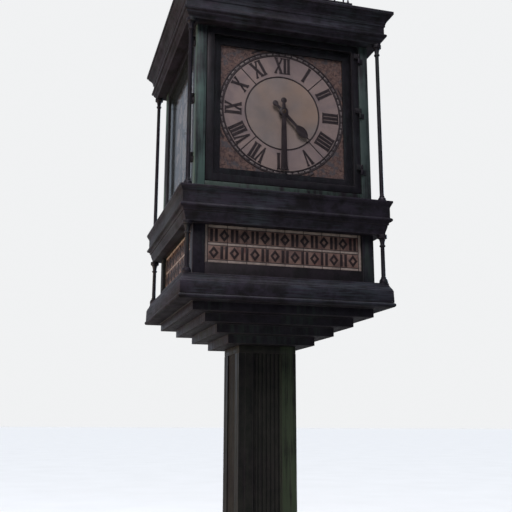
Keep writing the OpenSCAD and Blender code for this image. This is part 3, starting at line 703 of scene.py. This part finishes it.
def leaded_glass(name, pale, deep, stain, scale, stain_at, rough=0.22):
    """Rolled opalescent glass: cloudy milk-white streaks in a tinted body, a slow ripple from
    the roller about 25 mm long, and seeds that catch the light, drawn 3 mm wide so that they
    show. scale is one over the streaks' length in metres: 300 mm in the sheet of the centre,
    and down to 17 mm in the mottled corners."""
    made, tree, shader, spot = begin_finish(name)
    cloud = add(tree, "ShaderNodeTexNoise", {}, {"Vector": spot, "Scale": scale, "Detail": 6.0,
                                                 "Roughness": 0.6, "Distortion": 1.1})
    spread = add(tree, "ShaderNodeMapRange", {"interpolation_type": "SMOOTHSTEP"},
                 {"Value": cloud.outputs["Fac"], "From Min": 0.32, "From Max": 0.68})
    body = add(tree, "ShaderNodeMix", {"data_type": "RGBA"},
               {0: spread.outputs["Result"], 6: paint(deep), 7: paint(pale)})
    drift = add(tree, "ShaderNodeTexNoise", {}, {"Vector": spot, "Scale": scale * 0.45,
                                                 "Detail": 4.0})
    tinted = add(tree, "ShaderNodeMapRange", {"interpolation_type": "SMOOTHSTEP"},
                 {"Value": drift.outputs["Fac"], "From Min": stain_at,
                  "From Max": stain_at + 0.16, "To Max": 0.85})
    colour = add(tree, "ShaderNodeMix", {"data_type": "RGBA"},
                 {0: tinted.outputs["Result"], 6: body.outputs[2], 7: paint(stain)})
    ripple = add(tree, "ShaderNodeTexNoise", {}, {"Vector": spot, "Scale": 40.0, "Detail": 2.0})
    seeds = add(tree, "ShaderNodeTexNoise", {}, {"Vector": spot, "Scale": 300.0})
    relief = add(tree, "ShaderNodeMath", {"operation": "MULTIPLY_ADD"},
                 {0: ripple.outputs["Fac"], 1: 4.0, 2: seeds.outputs["Fac"]})
    bump = add(tree, "ShaderNodeBump", {}, {"Strength": 0.30, "Distance": 0.001,
                                            "Height": relief.outputs[0]})
    tree.links.new(colour.outputs[2], shader.inputs["Base Color"])
    tree.links.new(bump.outputs[0], shader.inputs["Normal"])
    shader.inputs["Roughness"].default_value = rough
    shader.inputs["Specular IOR Level"].default_value = 0.3
    shader.inputs["IOR"].default_value = 1.52
    return made


CENTRE_OPAL = leaded_glass("centre_opal_glass", "#a09490", "#8c8787", "#ab9585", 3.2, 0.56, 0.42)
CHAPTER_OPAL = leaded_glass("chapter_opal_glass", "#a59591", "#908486", "#a58c83", 5.0, 0.58, 0.42)
JEWEL_OPAL = leaded_glass("cast_glass_jewels", "#9a9291", "#645d60", "#5f585e", 22.0, 0.50, 0.2)
MOTTLED = leaded_glass("mottled_corner_glass", "#897169", "#4c3f41", "#5a5a60", 58.0, 0.50, 0.4)


def clouded(name, scale, detail, dark, pale):
    """A finish of two tones that drift into each other; also gives its shader and pattern.
    scale is one over the drift's width in metres."""
    made, tree, shader, spot = begin_finish(name)
    drift = add(tree, "ShaderNodeTexNoise", {}, {"Vector": spot, "Scale": scale,
                                                 "Detail": detail})
    tone = add(tree, "ShaderNodeMix", {"data_type": "RGBA"},
               {0: drift.outputs["Fac"], 6: paint(dark), 7: paint(pale)})
    tree.links.new(tone.outputs[2], shader.inputs["Base Color"])
    return made, tree, shader, drift


# Lead came: soft grey metal with a dull black patina from the cement and the weather, in
# blotches about 18 mm across.
LEAD, tree, lead_shader, dull = clouded("patinated_lead_came", 55.0, 6.0, "#2c2629", "#4b4347")
lead_bump = add(tree, "ShaderNodeBump", {}, {"Strength": 0.4, "Distance": 0.0008,
                                             "Height": dull.outputs["Fac"]})
tree.links.new(lead_bump.outputs[0], lead_shader.inputs["Normal"])
lead_shader.inputs["Metallic"].default_value = 0.35
lead_shader.inputs["Roughness"].default_value = 0.55


def flat_ring(stem, inner, outer, steps, material):
    """Flat ring of glass or lead about the centre of each dial, between two radii."""
    ring = spun("flat_ring", [(inner, DIAL_BACK, 0), (outer, DIAL_BACK, 0),
                              (outer, DIAL_FACE, 0), (inner, DIAL_FACE, 0)],
                steps, 0, axis=(0, 1, 0))
    settle(ring, (0, 0, dial_z))
    on_all_sides(ring, stem, material, "dial_{}")


def half_round(across, along=0.0):
    """Half-round came section, its flat on the glass; across is its half width."""
    rise = DIAL_FACE - CAME_FACE
    return [(along + across * math.cos(math.pi * i / 8),
             DIAL_FACE - rise * math.sin(math.pi * i / 8)) for i in range(9)]


def ring_came(name, radius, across, sweep=2 * math.pi, start=0.0):
    """A came bent to a ring, or to an arc that starts clockwise of twelve o'clock."""
    came = draw(name, [(r, d, 0) for r, d in half_round(across, radius)])
    whole = sweep == 2 * math.pi
    if not whole:
        bpy.ops.mesh.edge_face_add()
    bpy.ops.mesh.spin(steps=96 if whole else 16, angle=sweep, center=(0, 0, 0), axis=(0, 1, 0))
    close_mesh()
    bevelled(came, 0)
    settle(came, (0, 0, dial_z), (0, start, 0))
    return came


flat_ring("dial_centre_{}", PIPE_HOLE, CENTRE_R, 72, CENTRE_OPAL)
flat_ring("dial_chapter_{}", CENTRE_R, CHAPTER_R, 96, CHAPTER_OPAL)
flat_ring("dial_minute_band_{}", CHAPTER_R, MINUTE_R, 96, LEAD)

# corner lights: one plate with a round opening, bridged from circle to square
RIM, REBATE = 96, 0.0005
loop = [(math.sin(2 * math.pi * i / RIM), math.cos(2 * math.pi * i / RIM)) for i in range(RIM)]
corner_lights = draw("corner_lights", [(MINUTE_R * x, DIAL_FACE, MINUTE_R * z) for x, z in loop])
bpy.ops.mesh.duplicate()
bpy.ops.object.mode_set(mode="OBJECT")
for point in corner_lights.data.vertices:
    if point.select:
        reach = (dial_edge + REBATE) / max(abs(point.co.x), abs(point.co.z))
        point.co.x, point.co.z = point.co.x * reach, point.co.z * reach
bpy.ops.object.mode_set(mode="EDIT")
bpy.ops.mesh.select_all(action="SELECT")
bpy.ops.mesh.bridge_edge_loops()
bpy.ops.mesh.select_all(action="SELECT")
bpy.ops.mesh.extrude_region_move(
    TRANSFORM_OT_translate={"value": (0, DIAL_BACK - DIAL_FACE, 0)})
close_mesh()
settle(corner_lights, (0, 0, dial_z))
on_all_sides(corner_lights, "dial_corners_{}", MOTTLED, "dial_{}")

# minute jewels: small pillowed glass blocks, one for each minute
JEWEL_W, JEWEL_H, JEWEL_PROUD = 0.029, 0.0105, 0.0025
MINUTES = 60
bpy.ops.object.select_all(action="DESELECT")
bpy.ops.mesh.primitive_cube_add(size=1)
jewel = bpy.context.object
jewel.scale = (JEWEL_W, 2 * JEWEL_PROUD, JEWEL_H)
settle(jewel, (0, DIAL_FACE, (CHAPTER_R + MINUTE_R) / 2))
bevelled(jewel, 0.0022)
jewels = [placed_copy(jewel, z=dial_z, tilt=2 * math.pi * i / MINUTES) for i in range(MINUTES)]
joined("minute_jewels", jewels, (jewel,))
on_all_sides(jewels[0], "dial_jewels_{}", JEWEL_OPAL, "dial_{}")

# three ring cames, four radial ones between the chapter pieces, and an arc in each corner
cames = [ring_came("ring_came", radius, across) for radius, across in
         ((CENTRE_R, 0.0045), (CHAPTER_R, 0.004), (MINUTE_R, 0.004))]
radial = prism("radial_came", [(x, d, CENTRE_R) for x, d in half_round(0.003)],
               (0, 0, CHAPTER_R - CENTRE_R))
cames += [placed_copy(radial, z=dial_z, tilt=math.pi * (0.25 + 0.5 * i)) for i in range(4)]
ARC_GAP = 0.010
clear = math.acos((dial_edge - ARC_GAP) / ARC_R)
cames += [ring_came("corner_arc", ARC_R, 0.005, math.pi / 2 - 2 * clear,
                    math.pi / 2 * i + clear) for i in range(4)]
joined("dial_cames", cames, (radial,))
on_all_sides(cames[0], "dial_cames_{}", LEAD, "dial_{}")

# numerals: cut plates that stand round the chapter ring with their feet to the centre
NUMERAL_IN, NUMERAL_OUT = 0.252, 0.354
THICK, THIN, SERIF, FOOT = 0.016, 0.0105, 0.007, 0.003
NUMERAL_FACE = CAME_FACE + 0.0005
ADVANCE = {"I": 0.023, "V": 0.052, "X": 0.056}


def strokes(letter, x):
    """Outlines of one numeral sign whose left edge is at x, as lists of (x, z) points."""
    low, high = NUMERAL_IN, NUMERAL_OUT
    wide = ADVANCE[letter]
    mid = x + wide / 2
    if letter == "I":
        s, t = wide / 2 - 0.001, THICK / 2
        return [[(mid - s, low), (mid + s, low), (mid + s, low + SERIF), (mid + t, low + SERIF),
                 (mid + t, high - SERIF), (mid + s, high - SERIF), (mid + s, high),
                 (mid - s, high), (mid - s, high - SERIF), (mid - t, high - SERIF),
                 (mid - t, low + SERIF), (mid - s, low + SERIF)]]
    left, right = x + 0.004, x + wide - 0.004
    if letter == "V":
        return [[(left - FOOT, high), (left - FOOT, high - SERIF), (left, high - SERIF),
                 (mid - 0.004, low), (mid + 0.004, low), (right, high - SERIF),
                 (right + FOOT, high - SERIF), (right + FOOT, high),
                 (right - THIN - FOOT, high), (right - THIN - FOOT, high - SERIF),
                 (right - THIN, high - SERIF), (mid + 0.001, low + 0.024),
                 (left + THICK, high - SERIF), (left + THICK + FOOT, high - SERIF),
                 (left + THICK + FOOT, high)]]
    run = (right - left - THICK) / (high - low)
    thick = [(left - FOOT, high), (left - FOOT, high - SERIF), (left, high - SERIF),
             (right - THICK, low + SERIF), (right - THICK - FOOT, low + SERIF),
             (right - THICK - FOOT, low), (right + FOOT, low), (right + FOOT, low + SERIF),
             (right, low + SERIF), (left + THICK, high - SERIF),
             (left + THICK + FOOT, high - SERIF), (left + THICK + FOOT, high)]
    z_low, z_high = (low + high) / 2 - 0.010, (low + high) / 2 + 0.010
    lean = (right - left - THIN) / (high - low - 2 * SERIF)

    def foot(z):
        return left + lean * (z - low - SERIF)

    thin_low = [(left - FOOT, low), (left + THIN + FOOT, low),
                (left + THIN + FOOT, low + SERIF), (left + THIN, low + SERIF),
                (foot(z_low) + THIN + run * 0.004, z_low + 0.004), (foot(z_low), z_low),
                (left, low + SERIF), (left - FOOT, low + SERIF)]
    thin_high = [(foot(z_high) + THIN, z_high), (right, high - SERIF),
                 (right + FOOT, high - SERIF), (right + FOOT, high),
                 (right - THIN - FOOT, high), (right - THIN - FOOT, high - SERIF),
                 (right - THIN, high - SERIF), (foot(z_high) - run * 0.004, z_high - 0.004)]
    return [thick, thin_low, thin_high]


plates = []
for hour, sign in enumerate(("XII", "I", "II", "III", "IIII", "V", "VI", "VII", "VIII", "IX",
                             "X", "XI")):
    x = -sum(ADVANCE[letter] for letter in sign) / 2
    for letter in sign:
        for outline in strokes(letter, x):
            plate = extruded("numeral_plate", outline, NUMERAL_FACE, DIAL_FACE - NUMERAL_FACE)
            plates.append(placed_copy(plate, z=dial_z, tilt=hour * math.pi / 6))
            bpy.data.objects.remove(plate)
        x += ADVANCE[letter]
joined("numerals", plates)

# Stoved black enamel on brass: a soft black gloss, chalked by weather in patches of 40 mm.
ENAMEL, tree, enamel_shader, chalk = clouded("black_stoved_enamel", 24.0, 8.0, "#1d181b",
                                             "#41363b")
enamel_gloss = add(tree, "ShaderNodeMapRange", {},
                   {"Value": chalk.outputs["Fac"], "To Min": 0.25, "To Max": 0.6})
tree.links.new(enamel_gloss.outputs["Result"], enamel_shader.inputs["Roughness"])
on_all_sides(plates[0], "dial_numerals_{}", ENAMEL, "dial_{}")

# ---- Hands and motion work -----------------------------------------------------------------
# The hands are cut from sheet brass, enamelled black and broken at the edges. Behind the dial
# run brass wheels on steel studs between plates, driven by a small synchronous motor.
for side in SIDES:
    eased("minute_hand_" + side, 0.0008, ENAMEL)
    eased("hour_hand_" + side, 0.0008, ENAMEL)
    finish_as(frame["nodes"]["movement_" + side], STEEL)

# domed nut that holds both hands on, enamelled with them
NUT_BACK, NUT_RIM, NUT_FACE, NUT_R = -0.5141, -0.5153, -0.5180, 0.0115
dome = [(NUT_R * math.cos(math.pi * i / 12),
         NUT_RIM + (NUT_FACE - NUT_RIM) * math.sin(math.pi * i / 12), 0) for i in range(6)]
for k, side in enumerate(SIDES):
    nut = spun("hand_nut_" + side,
               [(0, NUT_BACK, 0), (NUT_R, NUT_BACK, 0)] + dome + [(0, NUT_FACE, 0)],
               24, 0, axis=(0, 1, 0), closed=False)
    settle(nut, (0, 0, dial_z), (0, 0, k * math.pi / 2))
    finish_as(nut, ENAMEL)
    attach(nut, "minute_" + side)

# Cut brass: a warm yellow metal, darkened by oil in patches about 14 mm across.
BRASS, tree, brass_shader, oil = clouded("lacquered_cut_brass", 70.0, 7.0, "#7d6430", "#b8964f")
brass_rough = add(tree, "ShaderNodeMapRange", {},
                  {"Value": oil.outputs["Fac"], "To Min": 0.22, "To Max": 0.5})
tree.links.new(brass_rough.outputs["Result"], brass_shader.inputs["Roughness"])
brass_shader.inputs["Metallic"].default_value = 1.0
for side in SIDES:
    for wheel in ("minute_arbor_", "hour_wheel_", "minute_wheel_"):
        finish_as(frame["nodes"][wheel + side], BRASS)

# ---- Tube lamps ----------------------------------------------------------------------------
# Four upright tube lamps round the mast light all four dials. Their glass is coated white
# inside, which leaves a flat milky surface with a slight grey bloom near the ends.
TUBE, _, tube_shader, _ = clouded("coated_lamp_tube", 12.0, 3.0, "#dcdcd6", "#f3f2ec")
tube_shader.inputs["Roughness"].default_value = 0.15
finish_as(frame["nodes"]["lamps"], TUBE)

# ---- Leaded sign panels --------------------------------------------------------------------
# Two courses of mottled tan glass between strips of pale opal, all leaded together. Lozenges
# and pairs of bars in dark glass paint, fired on raised plates, run along both courses.
sign_low, sign_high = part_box("sign_panels")
SIGN_BACK = -sign_high.y + 0.010
SIGN_FACE = -sign_high.y + 0.0025
TAN = leaded_glass("mottled_tan_glass", "#937a70", "#665350", "#704c4a", 14.0, 0.55, 0.45)
PALE = leaded_glass("pale_border_glass", "#b9aca4", "#968a83", "#a69383", 16.0, 0.62, 0.4)


def pane(x0, x1, z0, z1, back, face, width):
    """One cut piece of glass or metal, upright in the front panel, with eased edges."""
    bpy.ops.object.select_all(action="DESELECT")
    bpy.ops.mesh.primitive_cube_add(size=1)
    piece = bpy.context.object
    piece.scale = (x1 - x0, abs(back - face), z1 - z0)
    settle(piece, ((x0 + x1) / 2, (back + face) / 2, (z0 + z1) / 2))
    bevelled(piece, width)
    return piece


# the panels end at the corner piers; from the bottom up each has a border, the lower course,
# a middle strip, the upper course and a border
PIER_W, BORDER, MIDDLE, JOINT = 0.070, 0.019, 0.016, 0.0025
sign_half = tier_half - PIER_W - 0.0002
sign_h = sign_high.z - sign_low.z
course_h = (sign_h - 2 * BORDER - MIDDLE) / 2
lines = [sign_low.z, sign_low.z + BORDER, sign_low.z + BORDER + course_h,
         sign_low.z + BORDER + course_h + MIDDLE, sign_high.z - BORDER, sign_high.z]
course_w = 2 * (sign_half - BORDER)
TILES = 8
tile_w = course_w / TILES
tans, pales, leads, marks = [], [], [], []
for i in range(TILES):
    x = -sign_half + BORDER + i * tile_w
    for row in range(5):
        kind = tans if row in (1, 3) else pales
        kind.append(pane(x + JOINT / 2, x + tile_w - JOINT / 2, lines[row] + JOINT / 2,
                         lines[row + 1] - JOINT / 2, SIGN_BACK, SIGN_FACE, 0.0012))
for side in (-1, 1):
    x0, x1 = sorted((side * sign_half, side * (sign_half - BORDER)))
    pales.append(pane(x0 + JOINT / 2, x1 - JOINT / 2, lines[0] + JOINT / 2,
                      lines[5] - JOINT / 2, SIGN_BACK, SIGN_FACE, 0.0012))
    leads.append(pane(side * (sign_half - BORDER) - 0.002, side * (sign_half - BORDER) + 0.002,
                      lines[0], lines[5], SIGN_BACK, SIGN_FACE - 0.0015, 0.0008))
for z in lines[1:-1]:
    leads.append(pane(-sign_half + BORDER, sign_half - BORDER, z - 0.002, z + 0.002, SIGN_BACK,
                      SIGN_FACE - 0.0014, 0.0008))
for i in range(1, TILES):
    x = -sign_half + BORDER + i * tile_w
    leads.append(pane(x - 0.0015, x + 0.0015, lines[0], lines[5], SIGN_BACK,
                      SIGN_FACE - 0.0010, 0.0006))

MARK_W, MARK_STROKE, MARK_PROUD = 0.0285, 0.0165, 0.0020
tall = course_h / 2 - 0.005
lozenge = spun("lozenge", [(MARK_W - MARK_STROKE, SIGN_FACE, 0), (MARK_W, SIGN_FACE, 0),
                           (MARK_W, SIGN_FACE - MARK_PROUD, 0),
                           (MARK_W - MARK_STROKE, SIGN_FACE - MARK_PROUD, 0)],
               4, 0.0006, axis=(0, 1, 0))
lozenge.scale = (1, 1, tall / MARK_W)
settle(lozenge)
PER_ROW, END_GAP, BAR_HALF, BAR_SHIFT = 15, 0.010, 0.008, 0.0135
for row, z in enumerate(((lines[1] + lines[2]) / 2, (lines[3] + lines[4]) / 2)):
    for i in range(PER_ROW):
        x = (i - (PER_ROW - 1) / 2) * (course_w - END_GAP) / PER_ROW
        if (i + row) % 2 == 0:
            marks.append(placed_copy(lozenge, x, z))
        else:
            for shift in (-BAR_SHIFT, BAR_SHIFT):
                marks.append(pane(x + shift - BAR_HALF, x + shift + BAR_HALF, z - tall, z + tall,
                                  SIGN_FACE, SIGN_FACE - MARK_PROUD, 0.0006))
joined("sign_tan", tans)
joined("sign_pale", pales)
joined("sign_lead", leads)
joined("sign_marks", marks, (lozenge,))

# Vitreous glass paint: a dark red-brown fired on, slightly glossy, thin where the brush, about
# 17 mm wide, ran dry.
GLASS_PAINT, _, paint_shader, _ = clouded("fired_glass_paint", 60.0, 6.0, "#1a1214", "#2f2125")
paint_shader.inputs["Roughness"].default_value = 0.5
on_all_sides(tans[0], "sign_courses_{}", TAN, "sign_panels")
on_all_sides(pales[0], "sign_borders_{}", PALE, "sign_panels")
on_all_sides(leads[0], "sign_cames_{}", LEAD, "sign_panels")
on_all_sides(marks[0], "sign_pattern_{}", GLASS_PAINT, "sign_panels")
